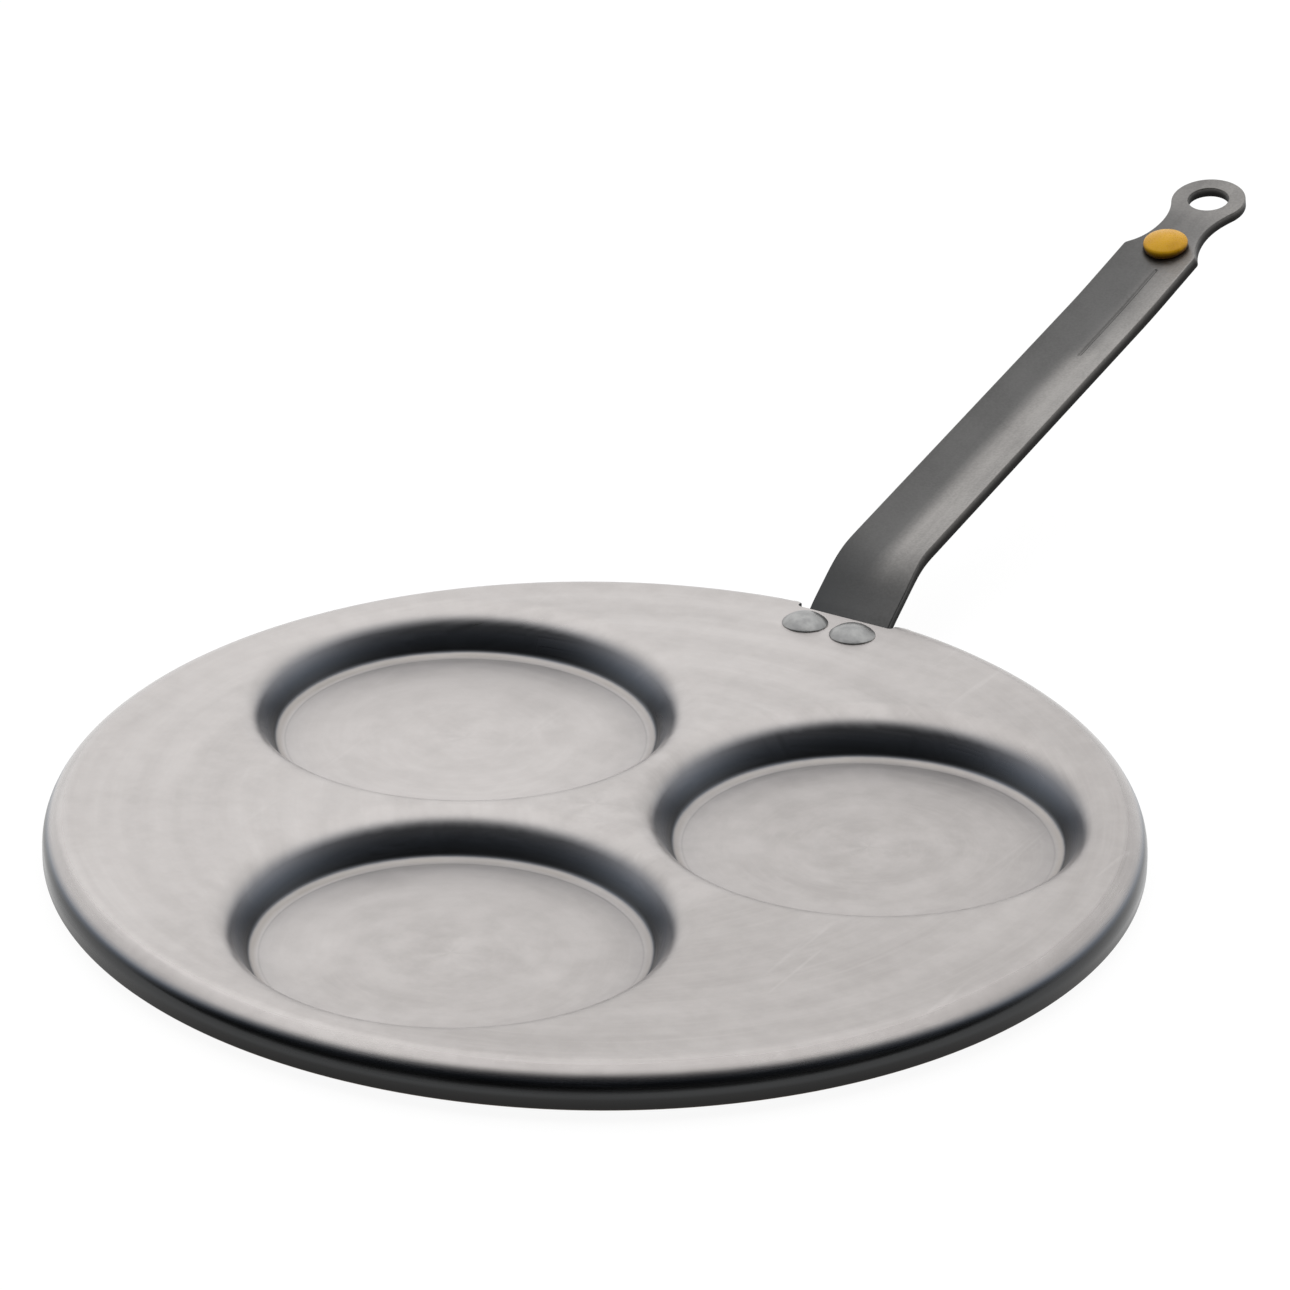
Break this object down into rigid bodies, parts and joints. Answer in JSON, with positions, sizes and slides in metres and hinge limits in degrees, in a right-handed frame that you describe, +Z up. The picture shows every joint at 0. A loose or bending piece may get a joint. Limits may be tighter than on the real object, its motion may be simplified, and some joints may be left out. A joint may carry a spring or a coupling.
{
  "type": "blini pan",
  "caption": "Round stamped steel pan with shallow blini cups, a turned-down rim and a long riveted strip handle that ends in a loop for hanging.",
  "frame": {"origin": "centre of the plate's flat top face", "axes": "+Z up out of the cups, +Y along the handle from the plate to the hanging loop, +X to the right when seen from above with the handle pointing away"},
  "size_m": [0.27, 0.4816, 0.0617],
  "materials": {
    "plate_steel": "satin bare steel with faint polishing arcs",
    "strip_steel": "satin, darker, faintly mottled",
    "rivet_steel": "smooth satin",
    "amber_plug": "glossy amber"
  },
  "bodies": {
    "pan": {"griddle_plate": "plate_steel", "handle_strip": "strip_steel", "rivet_left": "rivet_steel", "rivet_right": "rivet_steel"},
    "button": {"handle_button": "amber_plug"}
  },
  "joints": [
    {"name": "button_pull", "type": "slide", "parent": "pan", "child": "button", "axis": [0, -0.2158, 0.9764], "range_m": [0, 0.006]}
  ]
}
